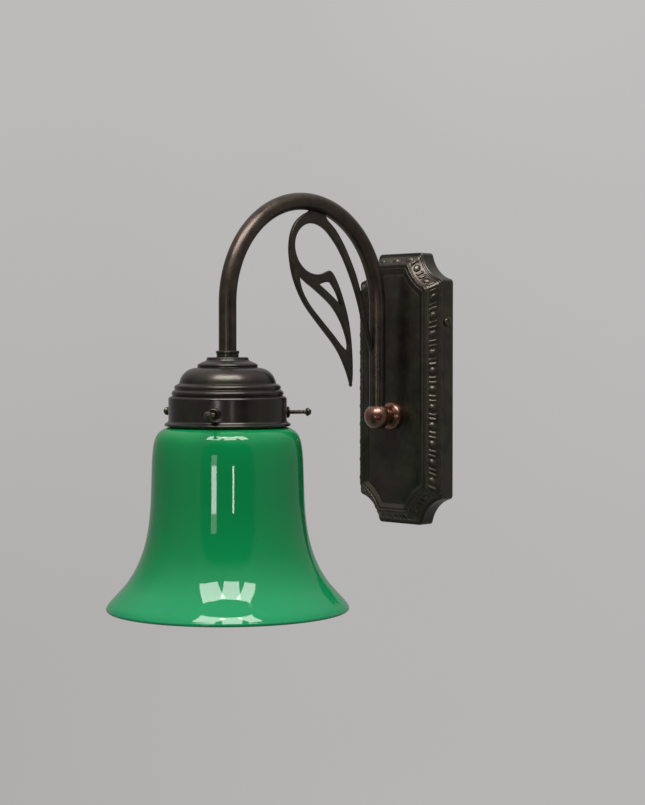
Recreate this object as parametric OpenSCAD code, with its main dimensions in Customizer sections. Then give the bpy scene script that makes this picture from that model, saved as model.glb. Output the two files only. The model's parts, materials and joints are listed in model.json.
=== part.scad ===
// Wall lamp with a hooped arm, a leaf ornament and a bell shade.
// Millimetres. +Z is up, the wall is the plane Y = 0 and the lamp stands out towards -Y.
// The origin is midway between the two wall-fixing slots of the bracket, on the wall.

/* [Wall plate] */
// Width of the wall plate
plate_w = 90; // [80:1:100]
// Height of the wall plate
plate_h = 216; // [200:2:230]
// Depth of the straight side wall
side_h = 12; // [10:1:14]
// Depth of the plate from the wall to its flat face
face_h = 21.5; // [20:0.5:23]
// Radius of the hollow corners
scallop_r = 26; // [22:1:28]
// Distance of each corner arc's centre outside the plate's corner, both ways
scallop_out = 4; // [2:1:6]
// Thickness of the pressed plate
plate_t = 1.3; // [1:0.1:2]
// Height of the wall bracket above the plate's centre
bracket_up = 53; // [45:1:60]

/* [Arm] */
// Outer diameter of the arm tube
tube_d = 13; // [12:0.5:14]
// Bore of the arm tube
tube_bore = 10.2; // [9:0.1:10.4]
// Distance of the shade's axis from the wall
reach = 196; // [180:1:210]
// Distance of the rear leg's axis from the wall
rear_reach = 39; // [38:1:42]
// Height of the arch's spring line above the plate's centre
spring_z = 65; // [55:1:75]
// Depth of the arm's fixing below the plate's centre
fix_down = 21.5; // [15:0.5:30]
// Diameter of the ball that joins the arm to the plate
ball_d = 20.6; // [20:0.2:22]
// Thickness of the leaf ornament
leaf_t = 3.2; // [2:0.1:4]

/* [Shade holder] */
// Height of the holder's flat top above the plate's centre
gallery_top = 25.6; // [25:0.2:26]
// Outer radius of the holder's straight wall
gallery_r = 43.2; // [43:0.1:44]
// Height of the thumb screws, counted from the plate's centre
screw_z = -15; // [-16:0.5:-14]
// Direction of the first thumb screw, counted from +X
screw_angle = 66; // [0:1:119]
// Diameter of the thumb screws' thread
screw_d = 3; // [3:0.1:3.4]

/* [Shade] */
// Radius of the shade at its rim
rim_r = 89; // [86:0.5:92]
// Thickness of the glass
glass_t = 3; // [2.5:0.1:3.5]

/* [Hidden] */
$fn = 64;
eps = 0.05;

tube_r = tube_d / 2;
arch_r = (reach - rear_reach) / 2;
arch_y = -(reach + rear_reach) / 2;
fit = 0.05;
nipple_r = 5;
nipple_bore_r = 4;
bracket_t = 1.5;
bracket_gap = 0.3;
tab_h = 11.5;
slot_x = 25;
slot_w = 5;
slot_len = 14;
side_screw_h = 7;
wire_r = 1;
wire_x = 1.6;
port_x = 8;
earth_x = -37;
block = [27, 12, 17];
cavity_h = 19.4;
core_top = 4;

bronze = [0.20, 0.14, 0.10];
copper = [0.45, 0.22, 0.14];
brass = [0.75, 0.60, 0.30];
steel = [0.70, 0.70, 0.72];

// Points along an arc, from angle a0 to a1
function arc(c, r, a0, a1, n = 8) =
    [for (i = [0:n]) let (a = a0 + (a1 - a0) * i / n) c + r * [cos(a), sin(a)]];

// A smooth curve through the points p, with n steps from each to the next
function curve(p, n = 5) = concat(
    [for (i = [0:len(p) - 2]) for (k = [0:n - 1])
        let (t = k / n, a = p[max(i - 1, 0)], b = p[i], c = p[i + 1], d = p[min(i + 2, len(p) - 1)])
        (2 * b + (c - a) * t + (2 * a - 5 * b + 4 * c - d) * t * t
            + (3 * b - a - 3 * c + d) * t * t * t) / 2],
    [p[len(p) - 1]]);

function reversed(p) = [for (i = [len(p) - 1:-1:0]) p[i]];

// The same line, moved to its right by t
function beside(p, t) = [for (i = [0:len(p) - 1])
    let (a = p[max(i - 1, 0)], b = p[min(i + 1, len(p) - 1)], d = (b - a) / norm(b - a))
    p[i] + t * [d[1], -d[0]]];

// Puts what is drawn from the plate's centre into the row's frame
module placed() translate([0, 0, -bracket_up]) children();

// Puts what is drawn about +Z so that +Z leaves the wall, at height z
module off_wall(z = 0) translate([0, 0, z]) rotate([90, 0, 0]) children();

module at_shade() translate([0, -reach, 0]) children();

// ---------------------------------------------------------------- wall plate

// A solid with the plate's outline whose edge follows the profile p, a list of
// [distance in from the outline, height]
module tier(p) {
    n = len(p) - 1;
    low = p[0][1];
    high = p[n][1];
    difference() {
        intersection() {
            rotate([90, 0, 0]) linear_extrude(plate_h + 2, center = true)
                polygon(concat([for (q = p) [q[0] - plate_w / 2, q[1]]],
                    reversed([for (q = p) [plate_w / 2 - q[0], q[1]]])));
            rotate([90, 0, 90]) linear_extrude(plate_w + 2, center = true)
                polygon(concat([for (q = p) [q[0] - plate_h / 2, q[1]]],
                    reversed([for (q = p) [plate_h / 2 - q[0], q[1]]])));
        }
        for (sx = [-1, 1], sy = [-1, 1])
            translate([sx * (plate_w / 2 + scallop_out), sy * (plate_h / 2 + scallop_out), 0])
                rotate_extrude($fn = 96)
                    polygon(concat(
                        [[0, low - 1], [scallop_r + p[0][0], low - 1]],
                        [for (q = p) [scallop_r + q[0], q[1]]],
                        [[scallop_r + p[n][0], high + 1], [0, high + 1]]));
    }
}

module wall_plate() color(bronze) placed() off_wall() difference() {
    ridge_h = face_h + 1;
    union() {
        difference() {
            tier([[0, 0], [0, side_h], [0.8, side_h + 0.8], [2, side_h + 0.8],
                [2.6, side_h + 1.8], [8.4, face_h - 0.9], [9.2, ridge_h - 0.3], [10, ridge_h]]);
            translate([0, 0, ridge_h + 1]) mirror([0, 0, 1])
                tier([[13.4, 0], [13.4, 1.2], [15.6, 3], [16, 3]]);
        }
        tier([[17, 1], [17, face_h - 1], [18, face_h]]);
    }
    tier([[plate_t, -1], [plate_t, side_h], [9.4, cavity_h - 1], [11, cavity_h]]);
    translate([0, -fix_down, 0]) cylinder(h = face_h + 5, r = nipple_r + 0.2);
    translate([0, bracket_up, side_screw_h]) rotate([0, 90, 0])
        cylinder(h = plate_w + 2, r = 2.25, center = true);
}

// -------------------------------------------------------- fixing in the plate

module mounting_bracket() color(steel) placed() off_wall(bracket_up) {
    half = plate_w / 2 - plate_t - bracket_gap;
    difference() {
        union() {
            translate([-half, -9, 0]) cube([2 * half, 18, bracket_t]);
            for (s = [-1, 1])
                translate([s * (half - bracket_t / 2) - bracket_t / 2, -9, 0])
                    cube([bracket_t, 18, tab_h]);
        }
        for (s = [-1, 1]) translate([s * slot_x, 0, -1]) {
            for (e = [-1, 1]) translate([e * (slot_len - slot_w) / 2, 0, 0])
                cylinder(h = bracket_t + 2, d = slot_w);
            translate([-(slot_len - slot_w) / 2, -slot_w / 2, 0])
                cube([slot_len - slot_w, slot_w, bracket_t + 2]);
        }
        translate([0, 0, side_screw_h]) rotate([0, 90, 0])
            cylinder(h = plate_w, r = 2 + fit, center = true);
        translate([port_x / 2, 0, -1]) cylinder(h = bracket_t + 2, r = 1.5 + fit);
        translate([earth_x, 0, -1]) cylinder(h = bracket_t + 2, r = 2 + fit);
    }
}

// A slotted screw along +Z, with its head from z = 0 up
module slotted_screw(head_r, head_h, shank_r, shank_len) difference() {
    union() {
        rotate_extrude() polygon(concat([[0, 0], [head_r, 0]],
            arc([head_r - head_h * 0.45, head_h * 0.55], head_h * 0.45, 0, 90, 6), [[0, head_h]]));
        translate([0, 0, -shank_len]) cylinder(h = shank_len + eps, r = shank_r);
    }
    translate([0, 0, head_h]) cube([head_r * 3, head_r * 0.3, head_h * 0.9], center = true);
}

module side_screws() color(bronze) placed()
    for (s = [-1, 1]) translate([s * plate_w / 2, -side_screw_h, bracket_up])
        rotate([0, s * 90, 0]) rotate([0, 0, 25]) slotted_screw(3.5, 2, 2, 7);

module earth_lug() color(steel) placed() off_wall(bracket_up)
    translate([earth_x, 0, bracket_t]) difference() {
        union() {
            cylinder(h = 0.8, r = 3.6);
            translate([0, -1.5, 0]) cube([11, 3, 0.8]);
            translate([7, -2, 0]) cube([4, 4, 0.8]);
        }
        translate([0, 0, -1]) cylinder(h = 3, r = 2 + fit);
    }

module earth_screw() color(brass) placed() off_wall(bracket_up)
    translate([earth_x, 0, bracket_t + 0.8]) slotted_screw(3.4, 2, 2, 2.2);

module terminal_block() color("white") placed()
    translate([0, -bracket_t - block[1] / 2, bracket_up]) difference() {
        cube(block, center = true);
        for (i = [-1:1]) translate([i * port_x, 0, 0]) {
            cylinder(h = block[2] + 2, r = 2.3, center = true);
            for (s = [-1, 1]) translate([0, -block[1] / 2, s * 4.5]) rotate([90, 0, 0])
                cylinder(h = block[1] - 1.6, r = 1.8, center = true);
        }
        for (s = [-1, 1]) translate([s * port_x / 2, 0, 0]) {
            rotate([90, 0, 0]) cylinder(h = block[1] + 2, r = 1.5 + fit, center = true);
            translate([0, -block[1] / 2, 0]) cube([1.2, 3, block[2] + 2], center = true);
        }
    }

module terminal_tubes() color(brass) placed()
    translate([0, -bracket_t - block[1] / 2, bracket_up])
        for (i = [-1:1]) translate([i * port_x, 0, 0]) difference() {
            cylinder(h = 15, r = 2.25, center = true);
            cylinder(h = 17, r = 1.4, center = true);
            for (s = [-1, 1]) translate([0, -2, s * 4.5]) rotate([90, 0, 0])
                cylinder(h = 3, r = 1.5, center = true);
        }

module terminal_screws() color(steel) placed()
    translate([0, -bracket_t - block[1] / 2, bracket_up])
        for (i = [-1:1], s = [-1, 1]) translate([i * port_x, -1.05, s * 4.5])
            rotate([90, 0, 0]) difference() {
                cylinder(h = 3.6, r = 1.45);
                translate([0, 0, 3.6]) cube([4, 0.6, 1.4], center = true);
            }

module block_screw() color(steel) placed() off_wall(bracket_up)
    translate([port_x / 2, 0, bracket_t + block[1]]) slotted_screw(2.7, 1.8, 1.5, 13);

// ------------------------------------------------------------- arm's fixing

module arm_flange() color(copper) placed() off_wall(-fix_down) translate([0, 0, face_h])
    rotate_extrude() polygon(concat([[nipple_r + fit, 0], [11, 0]],
        arc([8, 2.2], 3, 0, 60, 8), [[7.6, 6], [nipple_r + fit, 6]]));

module ball_joint() color(copper) placed() difference() {
    r = ball_d / 2;
    union() {
        translate([0, -rear_reach, -fix_down]) sphere(r = r, $fn = 96);
        off_wall(-fix_down) translate([0, 0, face_h + 6]) cylinder(h = 5, r = 6.2);
    }
    translate([0, -rear_reach, -fix_down]) sphere(r = r - 3.4);
    translate([0, -rear_reach, -fix_down + 5]) cylinder(h = r, r = tube_r + fit);
    off_wall(-fix_down) translate([0, 0, face_h + 5]) cylinder(h = 8, r = nipple_r + fit);
}

// A threaded tube along +Z from z = 0
module nipple(len) difference() {
    cylinder(h = len, r = nipple_r);
    translate([0, 0, -1]) cylinder(h = len + 2, r = nipple_bore_r);
}

module arm_nipple() color(brass) placed() off_wall(-fix_down)
    translate([0, 0, 9.5]) nipple(rear_reach - 9.5 - 5.6);

module nipple_washer() color(steel) placed() off_wall(-fix_down)
    translate([0, 0, cavity_h - 1]) difference() {
        cylinder(h = 1, r = 9);
        translate([0, 0, -1]) cylinder(h = 3, r = nipple_r + fit);
    }

module nipple_nut() color(brass) placed() off_wall(-fix_down)
    translate([0, 0, cavity_h - 5]) difference() {
        cylinder(h = 4, r = 8.1, $fn = 6);
        translate([0, 0, -1]) cylinder(h = 6, r = nipple_r + fit);
    }

// ---------------------------------------------------------------------- arm

// A round bar of radius r along the arm: up the front leg, over and down the rear one
module along_arm(r, x, front_z, rear_z) {
    translate([x, -reach, front_z]) cylinder(h = spring_z - front_z, r = r);
    translate([x, -rear_reach, rear_z]) cylinder(h = spring_z - rear_z, r = r);
    translate([x, arch_y, spring_z]) rotate([90, 0, 90])
        rotate_extrude(angle = 180, $fn = 128) translate([arch_r, 0]) circle(r = r, $fn = 48);
}

module arm_tube() color(bronze) placed() difference() {
    along_arm(tube_r, 0, gallery_top, -fix_down + 5.2);
    along_arm(tube_bore / 2, 0, gallery_top - 1, -fix_down + 4);
}

// Outline of the leaf in the arm's plane, as [distance along Y, height]
function leaf_outline() = concat(
    // up the stem's outer edge from the rear leg, and along under the arch
    curve([[-44, 24], [-47.5, 40], [-54, 64], [-60, 80], [-63.8, 89.6], [-69.9, 101],
        [-77, 112.4], [-86, 123.5], [-96, 132], [-98, 140]], 4),
    // round the outside of the loop and down the leaf's back to its tip
    curve([[-111, 140], [-114, 136.4], [-121, 133], [-128.4, 127], [-133, 118], [-134.5, 108],
        [-133.6, 98], [-131, 87.4], [-126, 76.3], [-118.4, 65], [-107.6, 54], [-95.4, 42.6],
        [-87.4, 34.9], [-80.5, 26.4], [-74.2, 15.5], [-70.7, 7.4], [-69, 2.3]], 4),
    // up the leaf's front to the hook
    curve([[-69, 2.3], [-67.8, 8], [-67.5, 17], [-68, 28], [-69.4, 41], [-72, 54],
        [-76, 66], [-81, 77.5], [-85.5, 85.5], [-89.4, 90.4], [-92.4, 92]], 4),
    // round the inside of the loop and down the stem's inner edge
    curve([[-92.4, 92], [-95.6, 91], [-100, 89.4], [-106, 88.7], [-113, 89.7], [-120, 93.2],
        [-126, 99.6], [-129, 108], [-128.3, 115.5], [-124.5, 121.8], [-118, 126],
        [-110.5, 127.2], [-103, 125.8], [-95, 121.6], [-84.6, 111.6], [-76.6, 100.6],
        [-70.2, 89.3], [-64.8, 77.8], [-60.2, 66], [-56.6, 54.5], [-52, 42], [-47, 30],
        [-44, 24]], 4));

function leaf_long_hole() = concat(
    curve([[-124.6, 87.2], [-121.5, 76.5], [-113.3, 65.2], [-101.2, 54], [-88.3, 42.6],
        [-80.7, 35.4], [-73.2, 29.6]], 4),
    curve([[-73.2, 29.6], [-72.6, 35], [-74.9, 42.9], [-81, 54.4], [-91, 65.6], [-107.6, 76.7],
        [-116.5, 81.8], [-124.6, 87.2]], 4));

function leaf_small_hole() = concat(
    curve([[-103.2, 81], [-94, 75.3], [-85.5, 69.4], [-80.6, 66]], 3),
    curve([[-80.6, 66], [-84.6, 74.6], [-90.6, 82], [-93.6, 83], [-98.4, 82.6], [-103.2, 81]], 3));

module leaf_ornament() color(bronze) placed() difference() {
    rotate([90, 0, 90]) linear_extrude(leaf_t, center = true) difference() {
        polygon(leaf_outline());
        polygon(leaf_long_hole());
        polygon(leaf_small_hole());
    }
    along_arm(tube_r, 0, gallery_top, -fix_down + 5.2);
}

// ------------------------------------------------------------- shade holder

module neck_collar() color(bronze) placed() at_shade() translate([0, 0, gallery_top])
    rotate_extrude() polygon([[tube_r + fit, 0], [8.1, 0], [8.1, 2.6], [8.6, 3], [8.6, 4.2],
        [8, 4.8], [tube_r + fit, 4.8]]);

// Outer line of the shade holder from its top hole to its rim, as [radius, height]
function gallery_line() = concat(
    [[nipple_r + 0.2, gallery_top]],
    arc([14.3, 24.6], 1, 90, 0, 4),
    arc([17, 24.2], 1.5, 195, 270, 4),
    curve([[19.2, 21.7], [21.3, 20.7], [22.1, 19.6], [21.8, 18.4]], 3),
    arc([22.3, 4.7], 13.2, 88, 8, 14),
    arc([36.8, 3.5], 2.1, 80, -40, 8),
    arc([38.8, -0.7], 2.1, 60, -50, 8),
    arc([41.2, -5], gallery_r - 41.2, 80, 0, 6),
    arc([gallery_r + 2.2, -20], 2.2, 180, 250, 5),
    arc([45, -23.5], 1.1, 80, -90, 8));

module gallery() color(bronze) placed() at_shade() difference() {
    rotate_extrude($fn = 96) polygon(concat(gallery_line(),
        [[gallery_r + 0.2, -24.6], [gallery_r - 0.9, -23.4], [gallery_r - 0.9, -6]],
        arc([40.4, -5.6], 1.7, 0, 60, 3), [[39, -2.6], [37.2, 1.2], [35, 4.8]],
        arc([22.3, 4.7], 12.1, 8, 86, 10), [[20.8, 17.4], [15.4, 20.9], [13.6, 23.4],
        [13.2, gallery_top - 1], [nipple_r + 0.2, gallery_top - 1]]));
    for (i = [0:2]) rotate([0, 0, screw_angle + 120 * i]) translate([gallery_r - 5, 0, screw_z])
        rotate([0, 90, 0]) cylinder(h = 10, r = screw_d / 2 + fit);
}

module gallery_nipple() color(brass) placed() at_shade()
    translate([0, 0, 16]) nipple(24);

module lock_nut(i) color(bronze) placed() at_shade() rotate([0, 0, screw_angle + 120 * i])
    translate([gallery_r + 0.3, 0, screw_z]) rotate([0, 90, 0]) rotate_extrude()
        polygon([[screw_d / 2 + fit, 0], [2.9, 0], [3, 1.4], [4.3, 2.6], [4.3, 3.3], [3.9, 3.6],
            [3, 3], [screw_d / 2 + fit, 2.8]]);

module thumb_screw(i) color(bronze) placed() at_shade() rotate([0, 0, screw_angle + 120 * i])
    translate([38.4, 0, screw_z]) rotate([0, 90, 0]) rotate_extrude()
        polygon(concat([[0, 0], [1, 0], [screw_d / 2, 0.8], [screw_d / 2, 22], [2.2, 22.2]],
            arc([1.9, 23.6], 1.2, -60, 60, 6), [[1.6, 26], [0, 26.2]]));

// -------------------------------------------------------------- lampholder

module lampholder_cap() color(brass) placed() at_shade() rotate_extrude()
    polygon([[nipple_r + fit, gallery_top - 1.05], [8, gallery_top - 1.05], [8, 17.5],
        [18.2, 13], [19.5, 10.5], [19.5, core_top], [17.6, core_top], [17.6, 10], [16.8, 11.6],
        [7.4, 15.8], [nipple_r + fit, 15.9]]);

module lampholder_body() color("white") placed() at_shade() rotate_extrude()
    polygon([[17.5, core_top + 3], [17.5, core_top - 0.1], [19.4, core_top - 0.1],
        [19.4, -34], [18.6, -35.4], [15.4, -35.4], [15.4, -33.6], [16.1, -33.4],
        [16.1, core_top + 3]]);

module lampholder_core() color("ivory") placed() at_shade() difference() {
    translate([0, 0, -6]) cylinder(h = core_top + 6, r = 16);
    translate([0, 0, -7]) cylinder(h = 20, r = 1.3);
    for (s = [-1, 1]) translate([s * 9, 0, -1]) cylinder(h = 10, r = 1.55);
}

module thread_shell() color(brass) placed() at_shade() rotate_extrude()
    polygon([[7, -6.05], [14.5, -6.05], [14.5, -33], [14, -33], [14, -6.8], [7, -6.8]]);

module centre_contact() color(brass) placed() at_shade() union() {
    translate([0, 0, -8.6]) cylinder(h = 2.5, r = 3.6);
    translate([0, 0, -8]) cylinder(h = core_top + 8.6, r = 1.25);
}

module contact_screws() color(steel) placed() at_shade()
    for (s = [-1, 1]) translate([s * 9, 0, core_top + 0.1]) slotted_screw(2.6, 1.6, 1.5, 4.4);

// A wire of radius wire_r swept along the path p; ref is a direction the path never takes
module wire(p, ref, sides = 8) {
    n = len(p);
    rings = [for (i = [0:n - 1])
        let (t = p[min(i + 1, n - 1)] - p[max(i - 1, 0)],
            u = cross(t, ref) / norm(cross(t, ref)),
            v = cross(t, u) / norm(cross(t, u)))
        for (k = [0:sides - 1]) p[i] + wire_r * (cos(360 * k / sides) * u + sin(360 * k / sides) * v)];
    walls = [for (i = [0:n - 2], k = [0:sides - 1])
        let (a = i * sides + k, b = i * sides + (k + 1) % sides)
        for (f = [[a, b, b + sides], [a, b + sides, a + sides]]) f];
    polyhedron(points = rings, faces = concat(
        [[for (k = [sides - 1:-1:0]) k]], walls, [[for (k = [0:sides - 1]) (n - 1) * sides + k]]));
}

// Points [x, y, z] along an arc in the arm's plane
function side_arc(x, c, r, a0, a1, n) = [for (q = arc(c, r, a0, a1, n)) [x, q[0], q[1]]];

// One conductor of the arm, on the side s: from the lampholder, along the arm,
// through the ball and the nipple, and up to the terminal block
module arm_wire(s) {
    x = s * wire_x;
    z = -fix_down;
    bend = 6;
    y_in = -10;
    y_up = -bracket_t - block[1] / 2;
    turn = y_up - y_in;
    wire(concat(
        [[s * 9, -reach, core_top + 2.7], [s * 5, -reach, 8.6], [x, -reach, 13]],
        side_arc(x, [arch_y, spring_z], arch_r, 180, 0, 32),
        side_arc(x, [-rear_reach + bend, z + bend], bend, 180, 270, 6),
        side_arc(x, [y_in, z + turn], turn, 270, 360, 4),
        [[x, y_up, 5], [s * port_x, y_up, 35], [s * port_x, y_up, 48]]), [1, 0, 0]);
}

module live_wire() color("saddlebrown") placed() arm_wire(-1);
module neutral_wire() color("steelblue") placed() arm_wire(1);

module earth_wire() color("green") placed() {
    y = -bracket_t - block[1] / 2;
    low = bracket_up - 16.4;
    back = -3.6;
    wire([[0, y, bracket_up - 5], [0, y, low + 6.4], [0, y + 1.2, low + 3.4],
        [-1, back - 1, low + 1], [-3, back, low], [-20, back, low], [-23, back, low + 1],
        [-25, back + 0.2, low + 4.4], [-27, back + 0.3, bracket_up - 4],
        [-27.5, back + 0.3, bracket_up]], [0, 1, 0]);
}

// ------------------------------------------------------------------- shade

// Outer line of the glass from its neck to its rim, as [radius, height]
function shade_line() = concat(
    arc([39.4, -8.4], 1.2, 90, 0, 4),
    [[40.6, -10.4]],
    curve([[40.4, -11.2], [38.4, -13], [38, -17], [38.6, -21.4], [41.6, -24.6], [46, -26.3],
        [50, -29], [52.6, -33], [54.2, -39], [55.2, -49], [55.7, -64], [56.2, -79], [57, -90],
        [58.3, -100.5], [60.4, -110.5], [63.4, -120], [67.9, -130], [73.6, -139], [80.2, -146.6],
        [rim_r - 2.6, -153.4], [rim_r - 0.5, -156.6]], 4));

module shade() color([0.08, 0.55, 0.30]) placed() at_shade() rotate_extrude($fn = 128)
    polygon(concat(shade_line(),
        arc([rim_r - 1.6, -157.6], 1.5, 20, -150, 6),
        reversed(beside(curve([[39.2, -7.2], [38.6, -13], [38.1, -17], [38.6, -21.4],
            [42, -25.4], [46, -26.8], [50, -29.4], [52.6, -33.2], [54.2, -39], [55.2, -49],
            [55.7, -64], [56.2, -79], [57, -90], [58.3, -100.5], [60.4, -110.5], [63.4, -120],
            [67.9, -130], [73.6, -139], [80.2, -146.6], [rim_r - 2.8, -153.6]], 3), glass_t))));

// -------------------------------------------------------------------- bulb

module bulb_glass() color([1, 1, 1, 0.4]) placed() at_shade() rotate_extrude($fn = 96)
    polygon(concat(
        curve([[12.2, -31], [12.1, -38.2], [15, -46], [21.4, -58], [27.4, -69], [30, -82],
            [27.9, -95], [22, -105], [12.4, -111.9], [0, -114]], 4),
        reversed(curve([[11.2, -31], [11.2, -38.6], [14, -46.4], [20.4, -58.6], [26.4, -69.5],
            [29, -82], [27, -94.6], [21.3, -104.2], [12, -110.9], [0, -113]], 4))));

module bulb_cap() color(steel) placed() at_shade() rotate_extrude()
    polygon(concat([[11, -13.2], [12.4, -13.9], [13, -15]],
        [for (i = [0:5], k = [0, 1]) [k == 0 ? 13.5 : 12.9, -16.4 - 3.6 * i - 1.8 * k]],
        [[12.9, -37.6], [12.3, -37.6], [12.3, -15.2], [11, -14]]));

module bulb_insulator() color([0.1, 0.1, 0.12]) placed() at_shade() rotate_extrude()
    polygon([[1, -10.4], [4.8, -10.4], [10.9, -13.2], [10.9, -14.1], [9, -14.6], [1, -12.4]]);

module bulb_contact() color(steel) placed() at_shade() rotate_extrude()
    polygon([[0, -9], [3, -9.1], [4.4, -9.8], [4.7, -10.35], [0.95, -10.35], [0.95, -12.4],
        [0, -12.4]]);

module bulb_stem() color([1, 1, 1, 0.4]) placed() at_shade() rotate_extrude()
    polygon([[0, -30], [11.1, -30], [11.1, -31.4], [6, -36], [3.6, -44], [2.6, -60],
        [3.4, -62], [2, -64], [0, -64.4]]);

// Two lead wires out of the stem, and the coil slung between their ends
module bulb_filament() color(steel) placed() at_shade() {
    coil_r = 11;
    coil_z = -80;
    for (s = [-1, 1]) translate([s * coil_r, 0, coil_z + 0.3])
        rotate([0, -s * atan(9 / 15), 0]) cylinder(h = norm([9, 15]), r = 0.5);
    translate([0, 0, coil_z]) rotate_extrude(angle = 180)
        translate([coil_r, 0]) circle(r = 0.6, $fn = 16);
}

wall_plate();
mounting_bracket();
side_screws();
earth_lug();
earth_screw();
terminal_block();
terminal_tubes();
terminal_screws();
block_screw();
arm_flange();
ball_joint();
arm_nipple();
nipple_washer();
nipple_nut();
arm_tube();
leaf_ornament();
neck_collar();
gallery();
gallery_nipple();
lampholder_cap();
lampholder_body();
lampholder_core();
thread_shell();
centre_contact();
contact_screws();
live_wire();
neutral_wire();
earth_wire();
lock_nut(0);  // lock_nut_1
lock_nut(1);  // lock_nut_2
lock_nut(2);  // lock_nut_3
thumb_screw(0);  // thumb_screw_1
thumb_screw(1);  // thumb_screw_2
thumb_screw(2);  // thumb_screw_3
shade();
bulb_glass();
bulb_cap();
bulb_insulator();
bulb_contact();
bulb_stem();
bulb_filament();
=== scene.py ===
"""The looks of a wall lamp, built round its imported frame. Metres, +Z up, the wall is the plane Y = 0."""

import json
import math

import bmesh
import bpy
import numpy as np
from mathutils import Matrix, Vector


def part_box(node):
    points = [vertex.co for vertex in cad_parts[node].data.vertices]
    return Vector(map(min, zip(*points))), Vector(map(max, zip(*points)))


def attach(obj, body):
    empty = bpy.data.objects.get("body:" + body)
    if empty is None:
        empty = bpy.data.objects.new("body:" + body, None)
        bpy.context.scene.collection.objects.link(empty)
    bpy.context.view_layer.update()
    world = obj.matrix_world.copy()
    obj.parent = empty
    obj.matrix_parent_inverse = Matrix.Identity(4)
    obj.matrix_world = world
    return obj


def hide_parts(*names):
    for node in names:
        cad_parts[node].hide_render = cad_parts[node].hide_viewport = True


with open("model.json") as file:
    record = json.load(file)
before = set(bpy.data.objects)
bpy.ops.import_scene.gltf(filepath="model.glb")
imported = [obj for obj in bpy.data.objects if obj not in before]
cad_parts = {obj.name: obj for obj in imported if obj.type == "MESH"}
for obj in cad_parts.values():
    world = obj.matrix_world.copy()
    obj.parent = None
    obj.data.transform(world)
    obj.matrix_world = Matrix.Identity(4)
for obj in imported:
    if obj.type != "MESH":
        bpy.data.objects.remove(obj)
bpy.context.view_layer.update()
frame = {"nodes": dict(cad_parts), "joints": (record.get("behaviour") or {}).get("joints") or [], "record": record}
nodes = frame["nodes"]
body_of = {n: b for b, members in frame["record"]["behaviour"]["bodies"].items() for n in members}
slot_of = {p["node"]: p["material_slot"] for p in frame["record"]["subparts"]}

MM = 0.001


def middle(node):
    """The middle of a CAD node's box."""
    low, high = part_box(node)
    return (low + high) / 2


SHADE_AXIS = Vector((middle("shade").x, middle("shade").y, 0))
PLATE_MIDDLE = middle("wall_plate")
PLATE_HALF = (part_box("wall_plate")[1].x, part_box("wall_plate")[1].z - PLATE_MIDDLE.z)
UP = Vector((0, 0, 1))
OUT = Vector((0, -1, 0))


# ---------------------------------------------------------------- camera

CAMERA_AT = Vector((0.9980, -1.0696, -0.0237))
CAMERA_HEADING = 45.81  # degrees
CAMERA_DOWN = 1.59  # degrees below the level


def make_camera():
    data = bpy.data.cameras.new("camera")
    data.sensor_width = 36
    data.lens = 81.14
    data.clip_start, data.clip_end = 0.05, 60
    camera = bpy.data.objects.new("camera", data)
    bpy.context.scene.collection.objects.link(camera)
    camera.location = CAMERA_AT
    camera.rotation_euler = (math.radians(90 - CAMERA_DOWN), 0, math.radians(CAMERA_HEADING))
    bpy.context.scene.camera = camera


make_camera()


# -------------------------------------------------------------- materials


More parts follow.
